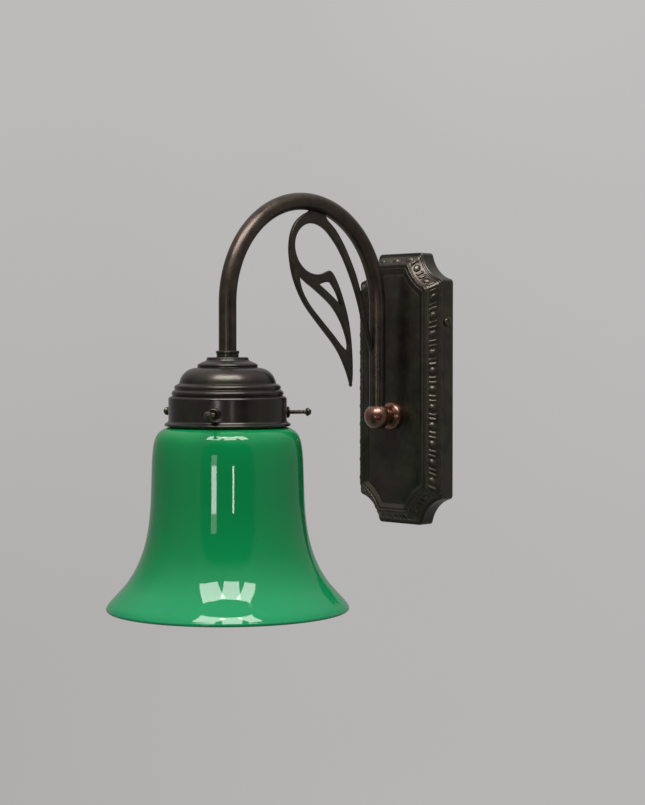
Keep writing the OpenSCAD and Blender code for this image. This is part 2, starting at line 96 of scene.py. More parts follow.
class Surface:
    """A material's nodes, with short calls for the ones used here."""

    def __init__(self, name, **values):
        self.material = bpy.data.materials.new(name)
        self.material.use_nodes = True
        self.tree = self.material.node_tree
        self.shader = self.tree.nodes["Principled BSDF"]
        self.place = self.tree.nodes.new("ShaderNodeTexCoord").outputs["Object"]
        self.set(**values)

    def feed(self, socket, value):
        if isinstance(value, bpy.types.NodeSocket):
            self.tree.links.new(value, socket)
        else:
            socket.default_value = value

    def set(self, **values):
        """Sets the main shader's sockets, which are named with _ for each space."""
        for key, value in values.items():
            if isinstance(value, tuple) and len(value) == 3 and "Radius" not in key:
                value = (*value, 1)
            self.feed(self.shader.inputs[key.replace("_", " ")], value)

    def add(self, kind, settings=None, **inputs):
        node = self.tree.nodes.new(kind)
        for key, value in (settings or {}).items():
            setattr(node, key, value)
        for key, value in inputs.items():
            self.feed(node.inputs[key.replace("_", " ")], value)
        return node

    def stretched(self, x, y, z):
        """The place, scaled apart along each axis, for streaks."""
        return self.add("ShaderNodeMapping", Vector=self.place, Scale=(x, y, z)).outputs["Vector"]

    def noise(self, scale, detail=4.0, rough=0.6, place=None, distortion=0.0):
        node = self.add("ShaderNodeTexNoise", Vector=place or self.place, Scale=scale, Detail=detail,
                        Roughness=rough, Distortion=distortion)
        return node.outputs["Fac"]

    def math(self, operation, a, b=0.5):
        node = self.add("ShaderNodeMath", {"operation": operation})
        self.feed(node.inputs[0], a)
        self.feed(node.inputs[1], b)
        return node.outputs[0]

    def span(self, value, start, end, low, high):
        """Takes value from start..end to low..high, and holds it there."""
        node = self.add("ShaderNodeMapRange", {"clamp": True, "interpolation_type": "SMOOTHSTEP"}, Value=value)
        for key, number in zip(("From Min", "From Max", "To Min", "To Max"), (start, end, low, high)):
            node.inputs[key].default_value = number
        return node.outputs["Result"]

    def blend(self, share, a, b, mode="MIX"):
        node = self.add("ShaderNodeMix", {"data_type": "RGBA", "blend_type": mode})
        self.feed(node.inputs[0], share)
        for socket, value in ((node.inputs[6], a), (node.inputs[7], b)):
            self.feed(socket, (*value, 1) if isinstance(value, tuple) else value)
        return node.outputs[2]

    def edges(self, radius):
        """1 on sharp or worn edges and 0 on flat faces."""
        soft = self.add("ShaderNodeBevel", {"samples": 4}, Radius=radius).outputs["Normal"]
        true = self.add("ShaderNodeNewGeometry").outputs["Normal"]
        dot = self.add("ShaderNodeVectorMath", {"operation": "DOT_PRODUCT"})
        self.feed(dot.inputs[0], soft)
        self.feed(dot.inputs[1], true)
        return self.span(dot.outputs["Value"], 0.99, 0.8, 0.0, 1.0)

    def relief(self, height, strength, distance):
        node = self.add("ShaderNodeBump", Height=height, Strength=strength, Distance=distance)
        self.feed(self.shader.inputs["Normal"], node.outputs["Normal"])


def bronze(name, dark, light, worn, rough=(0.3, 0.46), streaks=None, wear=0.6, tint=0.25,
           coat=0.35, coat_rough=0.16, spread=0.5, marks=0.08):
    """Brass with a dark brown finish: blotches, a faint purple and green bloom, edges worn by handling,
    and fine marks that streaks draws out along an axis. The least and greatest
    roughness are rough, wear is how far worn edges show, and marks how deep the marks are."""
    s = Surface(name, Metallic=0.9, Coat_Weight=coat, Coat_Roughness=coat_rough, IOR=1.5)
    blotch = s.noise(70, 6, 0.62, distortion=0.4)
    colour = s.blend(s.span(blotch, 0.5 - spread / 2, 0.5 + spread / 2, 0, 1), dark, light)
    bloom = s.blend(s.span(s.noise(38, 2, 0.5), 0.35, 0.65, 0, 1), (0.75, 0.55, 0.9), (0.62, 0.95, 0.62))
    colour = s.blend(tint, colour, s.blend(1.0, colour, bloom, "MULTIPLY"))
    grain = s.noise(1300, 3, 0.6)
    if streaks:
        grain = s.math("ADD", s.math("MULTIPLY", grain, 0.5),
                       s.math("MULTIPLY", s.noise(1.0, 4, 0.7, place=s.stretched(*streaks)), 0.5))
    edge = s.math("MULTIPLY", s.edges(0.5 * MM), s.span(s.noise(240, 4, 0.7), 0.3, 0.6, 0.25, 1))
    colour = s.blend(s.math("MULTIPLY", edge, wear), colour, worn)
    s.set(Base_Color=colour)
    mottle = s.math("ADD", s.math("MULTIPLY", blotch, 0.5), s.math("MULTIPLY", grain, 0.5))
    s.set(Roughness=s.span(mottle, 0.35, 0.65, *rough))
    s.relief(grain, marks, 0.12 * MM)
    return s


def plate_finish():
    """The wall plate's bronze, brighter where its relief stands highest: partly worn metal, partly a painted
    highlight.
    """
    s = bronze("plate_bronze", (0.052, 0.048, 0.037), (0.090, 0.080, 0.060), (0.30, 0.24, 0.17),
               rough=(0.30, 0.44), wear=0.12, tint=0.3, coat=0.15, coat_rough=0.3, marks=0.03)
    # The mesh's share of worn metal and painted highlight blends in a pale copper: worn metal, and a painted
    # highlight on the beads and upper arcs.
    wear_and_painted_highlight = s.add("ShaderNodeAttribute", {"attribute_name": "wear_and_painted_highlight"}).outputs["Fac"]
    patchy = s.span(s.noise(170, 5, 0.65), 0.36, 0.62, 0.15, 1.0)
    copper = s.blend(s.span(s.noise(90, 3, 0.5), 0.4, 0.6, 0, 1), (0.34, 0.29, 0.20), (0.36, 0.20, 0.15))
    before = s.shader.inputs["Base Color"].links[0].from_socket
    s.set(Base_Color=s.blend(s.math("MULTIPLY", wear_and_painted_highlight, patchy), before, copper))
    return s


def plain_metal(name, colour, rough, scale=900, coat=0.0):
    """Bare metal with fine marks and a little dulling."""
    s = Surface(name, Metallic=1.0, Coat_Weight=coat)
    grain = s.noise(scale, 5, 0.65)
    darker = tuple(c * 0.8 for c in colour)
    s.set(Base_Color=s.blend(s.span(s.noise(120, 5, 0.6), 0.35, 0.65, 0, 1), darker, colour))
    s.set(Roughness=s.span(grain, 0.3, 0.7, *rough))
    s.relief(grain, 0.1, 0.08 * MM)
    return s


def plain_solid(name, colour, rough, coat=0.0):
    """Moulded plastic, ceramic or insulation with a faint orange-peel surface."""
    s = Surface(name, Coat_Weight=coat, Coat_Roughness=0.08, IOR=1.5)
    grain = s.noise(260, 4, 0.6)
    darker = tuple(c * 0.86 for c in colour)
    s.set(Base_Color=s.blend(s.span(s.noise(260 / 3, 3, 0.6), 0.3, 0.7, 0, 1), darker, colour))
    s.set(Roughness=s.span(grain, 0.3, 0.7, *rough))
    s.relief(grain, 0.06, 0.1 * MM)
    return s


def opal(name, deep, rim_colour, rough):
    """Blown opal glass: its colour goes lighter towards the rim, with faint swirls and ripples."""
    s = Surface(name, IOR=1.5, Subsurface_Weight=0.12, Subsurface_Radius=(0.4, 1.0, 0.6),
                Subsurface_Scale=2 * MM)
    height = s.add("ShaderNodeSeparateXYZ", Vector=s.place).outputs["Z"]
    low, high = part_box("shade")
    swirl = s.noise(1.0, 3, 0.55, place=s.stretched(14, 14, 5), distortion=1.2)
    flare_top = low.z + 0.34 * (high.z - low.z)
    share = s.span(height, low.z, flare_top, 1, 0)
    share = s.math("ADD", share, s.span(swirl, 0.35, 0.65, -0.08, 0.08))
    s.set(Base_Color=s.blend(share, deep, rim_colour), Roughness=s.span(s.noise(320, 3, 0.6), 0.3, 0.7, *rough))
    s.relief(s.noise(1.0, 2, 0.5, place=s.stretched(34, 34, 12)), 0.25, 0.35 * MM)
    return s


def clear_glass():
    """The bulb's clear glass, not quite even."""
    s = Surface("bulb_glass", Transmission_Weight=1.0, IOR=1.45, Base_Color=(0.97, 0.985, 0.98))
    s.set(Roughness=s.span(s.noise(200, 3, 0.6), 0.35, 0.7, 0.0, 0.03))
    s.relief(s.noise(40, 2, 0.5), 0.1, 0.2 * MM)
    return s


MADE = {
    "plate_bronze": plate_finish(),
    "arm_bronze": bronze("arm_bronze", (0.054, 0.043, 0.033), (0.104, 0.079, 0.061), (0.28, 0.19, 0.14),
                         rough=(0.28, 0.4), streaks=(900, 60, 60), tint=0.15, coat=0.15, marks=0.03),
    "leaf_bronze": bronze("leaf_bronze", (0.044, 0.037, 0.028), (0.082, 0.068, 0.051), (0.26, 0.20, 0.13),
                          rough=(0.32, 0.48)),
    "gallery_bronze": bronze("gallery_bronze", (0.047, 0.040, 0.033), (0.075, 0.065, 0.054),
                             (0.28, 0.22, 0.16), rough=(0.26, 0.36), streaks=(60, 60, 1500), tint=0.45,
                             spread=0.7, coat=0.25),
    "copper_bronze": bronze("copper_bronze", (0.13, 0.055, 0.034), (0.25, 0.110, 0.064),
                            (0.40, 0.22, 0.15), rough=(0.26, 0.34), coat=1.0, coat_rough=0.2, tint=0.1),
    "screw_bronze": bronze("screw_bronze", (0.060, 0.052, 0.034), (0.11, 0.095, 0.060),
                           (0.42, 0.34, 0.22), rough=(0.22, 0.36), wear=0.7),
    "bare_brass": plain_metal("bare_brass", (0.68, 0.50, 0.22), (0.2, 0.36), coat=0.1),
    "zinc_steel": plain_metal("zinc_steel", (0.56, 0.57, 0.60), (0.26, 0.44), scale=500),
    "tinned_metal": plain_metal("tinned_metal", (0.72, 0.72, 0.70), (0.16, 0.3)),
    "white_plastic": plain_solid("white_plastic", (0.80, 0.78, 0.72), (0.26, 0.4)),
    "white_ceramic": plain_solid("white_ceramic", (0.84, 0.83, 0.78), (0.10, 0.22), coat=0.6),
    "opal_glass": opal("opal_glass", (0.003, 0.230, 0.066), (0.005, 0.285, 0.104), (0.015, 0.05)),
    "opal_inside": opal("opal_inside", (0.74, 0.80, 0.72), (0.76, 0.84, 0.76), (0.03, 0.09)),
    "bulb_glass": clear_glass(),
    "black_glass": plain_solid("black_glass", (0.02, 0.02, 0.024), (0.08, 0.2), coat=0.5),
    "tungsten": plain_metal("tungsten", (0.30, 0.29, 0.28), (0.3, 0.5)),
    "brown_insulation": plain_solid("brown_insulation", (0.16, 0.06, 0.025), (0.35, 0.5)),
    "blue_insulation": plain_solid("blue_insulation", (0.03, 0.12, 0.42), (0.35, 0.5)),
    "green_insulation": plain_solid("green_insulation", (0.10, 0.34, 0.05), (0.35, 0.5)),
}


def material(slot):
    return MADE[slot].material


# ------------------------------------------------------------ mesh making


def add_piece(node, mesh, sharp=38, extra=()):
    """A finished piece with this mesh that stands for the CAD node and rides on its body."""
    for polygon in mesh.polygons:
        polygon.use_smooth = True
    mesh.set_sharp_from_angle(angle=math.radians(sharp))
    mesh.materials.append(material(slot_of[node]))
    for name in extra:
        mesh.materials.append(material(name))
    piece = bpy.data.objects.new(node + "_finished", mesh)
    bpy.context.scene.collection.objects.link(piece)
    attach(piece, body_of[node])
    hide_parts(node)
    return piece


def mesh_from(name, points, faces):
    """A mesh with its faces turned outwards."""
    mesh = bpy.data.meshes.new(name)
    mesh.from_pydata([tuple(p) for p in points], [], faces)
    work = bmesh.new()
    work.from_mesh(mesh)
    bmesh.ops.recalc_face_normals(work, faces=work.faces)
    work.to_mesh(mesh)
    work.free()
    return mesh


def across(axis):
    """Two directions that make a right-handed set with the axis."""
    u = axis.orthogonal().normalized()
    return u, axis.cross(u)


SAME = 0.03 * MM  # rings closer than this are one ring
FEWEST = 16  # a turned ring has at least this many corners


def meridian(node, origin, axis):
    """The outline of a turned CAD node, as (radius, height along the axis), and whether it is
    a closed loop. An open one ends on the axis."""
    mesh = nodes[node].data
    flat = np.empty(len(mesh.vertices) * 3)
    mesh.vertices.foreach_get("co", flat)
    place = flat.reshape(-1, 3) - np.array(origin)
    height = place @ np.array(axis)
    radius = np.linalg.norm(place - np.outer(height, np.array(axis)), axis=1)
    rings, grid, ring_of = [], {}, []
    for r, h in zip(radius, height):
        a, b = round(r / SAME), round(h / SAME)
        near = [grid[(a + i, b + j)] for i in (-1, 0, 1) for j in (-1, 0, 1) if (a + i, b + j) in grid]
        if near:
            found = near[0]
        else:
            found = len(rings)
            rings.append([float(r), float(h), 0])
            grid[(a, b)] = found
        rings[found][2] += 1
        ring_of.append(found)
    kept = {i for i, (r, h, count) in enumerate(rings) if count >= FEWEST or r < SAME}
    links = {i: {} for i in kept}
    for edge in mesh.edges:
        a, b = (ring_of[v] for v in edge.vertices)
        if a != b and a in kept and b in kept:
            links[a][b] = links[a].get(b, 0) + 1
            links[b][a] = links[b].get(a, 0) + 1
    for a in links:
        strongest = sorted(links[a], key=lambda b: -links[a][b])[:2]
        links[a] = {b: links[a][b] for b in strongest}
    ends = [a for a in links if len(links[a]) < 2]
    path = [ends[0] if ends else min(kept)]
    while True:
        ahead = [b for b in links[path[-1]] if b not in path]
        if not ahead:
            break
        path.append(ahead[0])
    outline = [(rings[i][0], rings[i][1]) for i in path]
    if ends:
        for at in (0, -1):
            if outline[at][0] > SAME:
                outline.insert(0 if at == 0 else len(outline), (0.0, outline[at][1]))
            else:
                outline[at] = (0.0, outline[at][1])
    return outline, not ends


def rounded(outline, closed, radius, corner=30):
    """The outline with each corner over corner degrees rounded off in a few steps, and points
    close beside them that keep long runs straight."""
    steps = 3
    count = len(outline)
    made = []
    for i, p in enumerate(outline):
        if not closed and i in (0, count - 1):
            made.append(p)
            continue
        a, p, b = (np.array(outline[k % count]) for k in (i - 1, i, i + 1))
        before, after = np.linalg.norm(p - a), np.linalg.norm(b - p)
        d_in, d_out = (p - a) / before, (b - p) / after
        turn = math.acos(max(-1.0, min(1.0, float(d_in @ d_out))))
        if turn < math.radians(corner):
            if before > 2.5 * after:
                made.append(tuple(p - d_in * after * 0.5))
            made.append(tuple(p))
            if after > 2.5 * before:
                made.append(tuple(p + d_out * before * 0.5))
            continue
        cut = min(radius * math.tan(turn / 2), 0.38 * before, 0.38 * after)
        start, end = p - d_in * cut, p + d_out * cut
        if before > 3 * cut:
            made.append(tuple(start - d_in * cut * 0.5))
        for k in range(steps + 1):
            t = k / steps
            made.append(tuple(start * (1 - t) ** 2 + p * 2 * t * (1 - t) + end * t * t))
        if after > 3 * cut:
            made.append(tuple(end + d_out * cut * 0.5))
    return made


def lathe(outline, closed, origin, axis, steps, thread=None):
    """Points and faces of the outline turned round the axis. thread(radius, height, turn) may
    change the radius, where turn is the share of a full turn."""
    u, v = across(axis)
    points, rings = [], []
    for r, h in outline:
        if r < 1e-7:
            rings.append([len(points)])
            points.append(origin + axis * h)
            continue
        rings.append(list(range(len(points), len(points) + steps)))
        for k in range(steps):
            angle = 2 * math.pi * k / steps
            rr = thread(r, h, k / steps) if thread else r
            points.append(origin + axis * h + (u * math.cos(angle) + v * math.sin(angle)) * rr)
    faces = []
    for i in range(len(rings) if closed else len(rings) - 1):
        a, b = rings[i], rings[(i + 1) % len(rings)]
        for k in range(steps):
            n = (k + 1) % steps
            if len(a) == 1 and len(b) == 1:
                break
            if len(a) == 1:
                faces.append((a[0], b[n], b[k]))
            elif len(b) == 1:
                faces.append((a[k], a[n], b[0]))
            else:
                faces.append((a[k], a[n], b[n], b[k]))
    return points, faces


def turned(node, origin=SHADE_AXIS, axis=UP, round_r=0.3 * MM, steps=96, thread=None, refine=None):
    """A finished piece turned from the CAD node's own outline. refine may add to the outline."""
    outline, closed = meridian(node, origin, axis)
    outline = rounded(outline, closed, round_r)
    if refine:
        outline = refine(outline, closed)
    return add_piece(node, mesh_from(node, *lathe(outline, closed, origin, axis, steps, thread)))


class Thread:
    """A right-hand thread in a straight run of a turned outline: cut into it, or standing out
    where the depth is negative. A soft one is rolled, as on a lamp cap."""

    def __init__(self, radius, low, high, pitch, depth, soft=False):
        self.radius, self.low, self.high = radius, low, high
        self.pitch, self.depth, self.soft = pitch, depth, soft

    def refine(self, outline, closed):
        """Adds the points that the thread needs along its run."""
        made = []
        count = len(outline)
        for i, (r, h) in enumerate(outline):
            made.append((r, h))
            if i == count - 1 and not closed:
                break
            r2, h2 = outline[(i + 1) % count]
            if max(abs(r - self.radius), abs(r2 - self.radius)) < 0.12 * MM:
                pieces = int(abs(h2 - h) / (self.pitch / 9))
                made += [(r + (r2 - r) * k / (pieces + 1), h + (h2 - h) * k / (pieces + 1))
                         for k in range(1, pieces + 1)]
        return made

    def __call__(self, r, h, turn):
        if abs(r - self.radius) > 0.15 * MM or not self.low < h < self.high:
            return r
        phase = (h / self.pitch - turn) % 1.0
        if self.soft:
            wave = 0.5 - 0.5 * math.cos(2 * math.pi * phase)
        else:
            wave = abs(2 * phase - 1)
        fade = min(1.0, (h - self.low) / self.pitch, (self.high - h) / self.pitch)
        return r - self.depth * wave * fade


def finished(node, width=0.15 * MM, sharp=30, bevel=True):
    """A finished copy of a CAD node with its edges eased."""
    mesh = nodes[node].data.copy()
    mesh.materials.clear()
    work = bmesh.new()
    work.from_mesh(mesh)
    bmesh.ops.remove_doubles(work, verts=work.verts, dist=0.002 * MM)
    bmesh.ops.dissolve_limit(work, angle_limit=math.radians(1), verts=work.verts, edges=work.edges)
    bmesh.ops.recalc_face_normals(work, faces=work.faces)
    work.to_mesh(mesh)
    work.free()
    if "custom_normal" in mesh.attributes:
        mesh.attributes.remove(mesh.attributes["custom_normal"])
    piece = add_piece(node, mesh, sharp)
    if bevel:
        ease = piece.modifiers.new("ease", "BEVEL")
        ease.width = width
        ease.segments = 2
        ease.limit_method = "ANGLE"
        ease.angle_limit = math.radians(sharp)
    return piece


# ------------------------------------------------------------- wall plate

SCALLOP_R = 26 * MM  # radius of the hollow corners
SCALLOP_OUT = 4 * MM  # how far outside the plate's corner their centres lie
CORNER_EASE = 2.6 * MM  # how far the rounding of the outline's corners reaches
BEAD_PITCH = 14.4 * MM  # from one bead to the next
BEAD_STAND = 1.4 * MM  # how far a bead stands off the band
BEAD_HALF = 2.8 * MM  # half a bead's length along the band
BEAD_SHARE = 0.62  # a bead's share of the band's width
REEL_GAP = 3.7 * MM  # between the two reels of a pair
REEL_STAND = 1.0 * MM
REEL_HALF = 1.1 * MM
REEL_SHARE = 0.74
END_FADE = 1.4 * MM  # the ornament dies away over this at each end of a side or an arc
RING_STEP = 0.54 * MM  # between the points along each row
BAND_ROWS = 15

# The plate's section, as (distance in from the outline, height off the wall) in mm: the side
# wall, the sloping band that carries the ornament, the double ridge and groove up to the flat
# face, and the hollow side behind.
BAND_START, BAND_END = (3.1, 13.7), (8.4, 20.5)
BAND_MIDDLE = 5.7 * MM
FACE_START = (19.8, 21.5)
OUTSIDE_WALL = [(0, 0), (0, 12), (0.9, 12.75), (1.4, 12.35), (2.0, 13.1), (2.6, 12.95), BAND_START]
RIDGES = [BAND_END, (8.9, 20.7), (9.3, 22.25), (10.9, 22.5), (11.8, 21.8), (12.7, 22.35),
          (13.4, 22.15), (16.3, 20.45), (16.9, 20.4), FACE_START]
FIRST_RIDGE = (9, 11.2)  # where it lies, from and to
INSIDE = [(1.3, 0), (1.3, 12), (9.4, 18.4), (11, 19.4), (17, 19.4)]
NIPPLE_HOLE_R = 5.3 * MM


def outline_parts(inset):
    """The plate's outline, inset by that much: four straight sides and four corner arcs in
    turn, each as a function from 0..1 to (x, z) and the length along its middle."""
    half_w, half_h = PLATE_HALF
    radius = SCALLOP_R + inset
    out = SCALLOP_OUT + inset
    reach = math.sqrt(radius * radius - out * out)
    side_z = half_h + SCALLOP_OUT - reach
    side_x = half_w + SCALLOP_OUT - reach
    x, z = half_w - inset, half_h - inset
    start, end = math.pi + math.atan2(reach, out), math.pi + math.atan2(out, reach)

    def line(a, b):
        return lambda t: (a[0] + (b[0] - a[0]) * t, a[1] + (b[1] - a[1]) * t)

    def arc(sx, sz, a0, a1):
        centre = (sx * (half_w + SCALLOP_OUT), sz * (half_h + SCALLOP_OUT))
        return lambda t: (centre[0] + sx * radius * math.cos(a0 + (a1 - a0) * t),
                          centre[1] + sz * radius * math.sin(a0 + (a1 - a0) * t))

    bend = radius * abs(end - start)
    return [
        (line((x, -side_z), (x, side_z)), 2 * side_z), (arc(1, 1, start, end), bend),
        (line((side_x, z), (-side_x, z)), 2 * side_x), (arc(-1, 1, end, start), bend),
        (line((-x, side_z), (-x, -side_z)), 2 * side_z), (arc(-1, -1, start, end), bend),
        (line((-side_x, -z), (side_x, -z)), 2 * side_x), (arc(1, -1, end, start), bend),
    ]


def dome(a, b):
    """Height of a round-topped lump at a and b, which are 1 at its edge."""
    left = 1 - a * a - b * b
    return math.sqrt(left) if left > 0 else 0.0


def bead_and_reel(s, t, on_arc):
    """How far the ornament stands off its slope, at s along it and t across it, -1..1."""
    phase = (s / BEAD_PITCH + (0.5 if on_arc else 0.0) + 0.5) % 1.0 - 0.5
    at = phase * BEAD_PITCH
    bead = BEAD_STAND * dome(at / BEAD_HALF, t / BEAD_SHARE)
    from_pair = BEAD_PITCH / 2 - abs(at)
    reel = REEL_STAND * dome((from_pair - REEL_GAP / 2) / REEL_HALF, 0)
    return max(bead, reel * max(0.0, min(1.0, (REEL_SHARE - abs(t)) / 0.2)))


def make_plate():
    """The plate's outside as rows of points round it, from the wall to the face: the points, the
    faces, how much worn metal and painted highlight each point gets, a row's number of points, and that of each of
    its parts."""
    (x0, z0), (x1, z1) = BAND_START, BAND_END
    before = rounded(OUTSIDE_WALL, False, 0.35, corner=12)
    after = rounded(RIDGES, False, 0.4, corner=12)
    slope = [(x0 + (x1 - x0) * k / (BAND_ROWS - 1), z0 + (z1 - z0) * k / (BAND_ROWS - 1))
             for k in range(BAND_ROWS)]
    rows = [(d, h, None) for d, h in before[:-1]]
    rows += [(d, h, 2 * k / (BAND_ROWS - 1) - 1) for k, (d, h) in enumerate(slope)]
    rows += [(d, h, None) for d, h in after[1:]]
    length = math.hypot(x1 - x0, z1 - z0)
    lean_in, lean_up = -(z1 - z0) / length, (x1 - x0) / length

    runs = [size for _, size in outline_parts(BAND_MIDDLE)]
    counts = [max(8, round(run / RING_STEP)) for run in runs]
    points, wear_and_painted_highlight = [], []
    for d, h, t in rows:
        for part, (run, count) in enumerate(zip(runs, counts)):
            on_arc = part % 2 == 1
            for k in range(count):
                u = k / count
                stand = 0.0
                if t is not None:
                    fade = min(1.0, min(u, 1 - u) * run / END_FADE)
                    stand = bead_and_reel((u - 0.5) * run, t, on_arc) * fade
                x, z = outline_parts(d * MM + lean_in * stand)[part][0](u)
                points.append((x, -(h * MM + lean_up * stand), PLATE_MIDDLE.z + z))
                high = stand / BEAD_STAND
                # The first ridge gets half the share all along its length: a painted highlight where it catches
                # the light.
                if FIRST_RIDGE[0] < d < FIRST_RIDGE[1]:
                    high = 0.5
                # Painted highlight: the upper corner arcs get most because they face the light. The lower arcs and
                # the sides get little.
                share = 0.1 if not on_arc else (0.5 if z > 0 else 0.15)
                wear_and_painted_highlight.append(high * share)
    ring = sum(counts)
    for i in range(len(rows)):
        points[i * ring:(i + 1) * ring] = ease_corners(points[i * ring:(i + 1) * ring], counts)
    faces = [(i * ring + k, i * ring + (k + 1) % ring, (i + 1) * ring + (k + 1) % ring, (i + 1) * ring + k)
             for i in range(len(rows) - 1) for k in range(ring)]
    return points, faces, wear_and_painted_highlight, ring, counts


def ease_corners(points, counts):
    """Rounds the corners between the sides and the hollow arcs of one row of the plate."""
    ring = len(points)
    steps = round(CORNER_EASE / RING_STEP)
    corner = 0
    made = list(points)
    for count in counts:
        before, at, after = points[corner - steps], points[corner], points[(corner + steps) % ring]
        for k in range(-steps, steps + 1):
            t = (k + steps) / (2 * steps)
            i = (corner + k) % ring
            made[i] = (before[0] * (1 - t) ** 2 + at[0] * 2 * t * (1 - t) + after[0] * t * t,
                       points[i][1],
                       before[2] * (1 - t) ** 2 + at[2] * 2 * t * (1 - t) + after[2] * t * t)
        corner += count
    return made


def plate_piece():
    """The pressed plate: the relief outside, a plain hollow inside and a hole for the nipple."""
    points, faces, wear_and_painted_highlight, ring, counts = make_plate()
    face_start = len(points) - ring

    inner_start = len(points)
    for d, h in INSIDE:
        for part, count in enumerate(counts):
            shape = outline_parts(d * MM)[part][0]
            for k in range(count):
                x, z = shape(k / count)
                points.append((x, -h * MM, PLATE_MIDDLE.z + z))
        points[-ring:] = ease_corners(points[-ring:], counts)
    for i in range(len(INSIDE) - 1):
        a, b = inner_start + i * ring, inner_start + (i + 1) * ring
        faces += [(a + k, b + k, b + (k + 1) % ring, a + (k + 1) % ring) for k in range(ring)]
    faces += [(k, inner_start + k, inner_start + (k + 1) % ring, (k + 1) % ring) for k in range(ring)]

    hole_steps = 48
    hole_z = middle("arm_nipple").z
    hole = []
    for _, h in (FACE_START, INSIDE[-1]):
        hole.append(len(points))
        for k in range(hole_steps):
            angle = 2 * math.pi * k / hole_steps
            x, z = NIPPLE_HOLE_R * math.cos(angle), NIPPLE_HOLE_R * math.sin(angle)
            points.append((x, -h * MM, hole_z + z))
    front, back = hole
    faces += [(front + k, front + (k + 1) % hole_steps, back + (k + 1) % hole_steps, back + k)
              for k in range(hole_steps)]
    wear_and_painted_highlight += [0.0] * (len(points) - len(wear_and_painted_highlight))

    mesh = bpy.data.meshes.new("wall_plate")
    mesh.from_pydata([tuple(p) for p in points], [], faces)
    work = bmesh.new()
    work.from_mesh(mesh)
    work.verts.ensure_lookup_table()
    inner_end = inner_start + (len(INSIDE) - 1) * ring
    for outer, inner in ((face_start, front), (inner_end, back)):
        rim = []
        for start, count in ((outer, ring), (inner, hole_steps)):
            for k in range(count):
                pair = (work.verts[start + k], work.verts[start + (k + 1) % count])
                rim.append(work.edges.get(pair) or work.edges.new(pair))
        bmesh.ops.triangle_fill(work, use_beauty=True, use_dissolve=False, edges=rim)
    bmesh.ops.recalc_face_normals(work, faces=work.faces)
    work.to_mesh(mesh)
    work.free()
    mesh.attributes.new("wear_and_painted_highlight", "FLOAT", "POINT").data.foreach_set("value", wear_and_painted_highlight)
    return add_piece("wall_plate", mesh, sharp=40)


# ------------------------------------------------------------------- leaf


def leaf_piece():
    """The leaf ornament with the soft edges of a casting, from the CAD leaf's own outline."""
    work = bmesh.new()
    work.from_mesh(nodes["leaf_ornament"].data)
    bmesh.ops.remove_doubles(work, verts=work.verts, dist=0.002 * MM)
    low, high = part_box("leaf_ornament")
    side = {f for f in work.faces if abs(f.normal.x) > 0.9 and f.calc_center_median().x > high.x - 0.01 * MM}
    rim = {e: True for e in work.edges if len(set(e.link_faces) & side) == 1}  # kept in order
    loops = []
    while rim:
        edge, _ = rim.popitem()
        first, at = edge.verts
        loop = [first.co.copy(), at.co.copy()]
        while True:
            follow = next((e for e in at.link_edges if e in rim), None)
            if follow is None:
                break
            del rim[follow]
            at = follow.other_vert(at)
            loop.append(at.co.copy())
        loops.append(loop[:-1] if (loop[0] - loop[-1]).length < 1e-6 else loop)
    work.free()

    ease = 0.8 * MM
    curve = bpy.data.curves.new("leaf", "CURVE")
    curve.dimensions = "2D"
    curve.fill_mode = "BOTH"
    curve.bevel_depth = ease
    curve.bevel_resolution = 4
    curve.offset = -ease
    curve.extrude = (high.x - low.x) / 2 - ease
    for loop in loops:
        spline = curve.splines.new("POLY")
        spline.points.add(len(loop) - 1)
        for point, place in zip(spline.points, loop):
            point.co = (place.y, place.z, 0, 1)
        spline.use_cyclic_u = True
    holder = bpy.data.objects.new("leaf_outline", curve)
    bpy.context.scene.collection.objects.link(holder)
    bpy.context.view_layer.update()
    mesh = bpy.data.meshes.new_from_object(holder.evaluated_get(bpy.context.evaluated_depsgraph_get()))
    bpy.data.objects.remove(holder)
    mesh.transform(Matrix(((0, 0, 1, (low.x + high.x) / 2), (1, 0, 0, 0), (0, 1, 0, 0), (0, 0, 0, 1))))
    mesh.materials.clear()
    work = bmesh.new()
    work.from_mesh(mesh)
    bmesh.ops.remove_doubles(work, verts=work.verts, dist=0.002 * MM)
    bmesh.ops.recalc_face_normals(work, faces=work.faces)
    work.to_mesh(mesh)
    work.free()
    return add_piece("leaf_ornament", mesh, sharp=50)


# ------------------------------------------------------------------ shade


def shade_piece():
    """The bell: green glass outside, cased with pale opal inside."""
    outline, closed = meridian("shade", SHADE_AXIS, UP)
    outline = rounded(outline, closed, 0.6 * MM)
    mesh = mesh_from("shade", *lathe(outline, closed, SHADE_AXIS, UP, 192))
    piece = add_piece("shade", mesh, sharp=50, extra=["opal_inside"])
    for polygon in mesh.polygons:
        away = polygon.center - SHADE_AXIS
        away.z = 0
        inward = polygon.normal.dot(away.normalized()) < -0.05
        polygon.material_index = 1 if inward else 0
    return piece


# ---------------------------------------------------------- turned pieces

E27_R, E27_PITCH = 14 * MM, 3.629 * MM
M10_R, M10_PITCH = 5 * MM, 1 * MM
M3_R, M3_PITCH = 1.5 * MM, 0.5 * MM


def joint(name):
    """The frame's joint of that name."""
    return next(j for j in frame["joints"] if j["name"] == name)


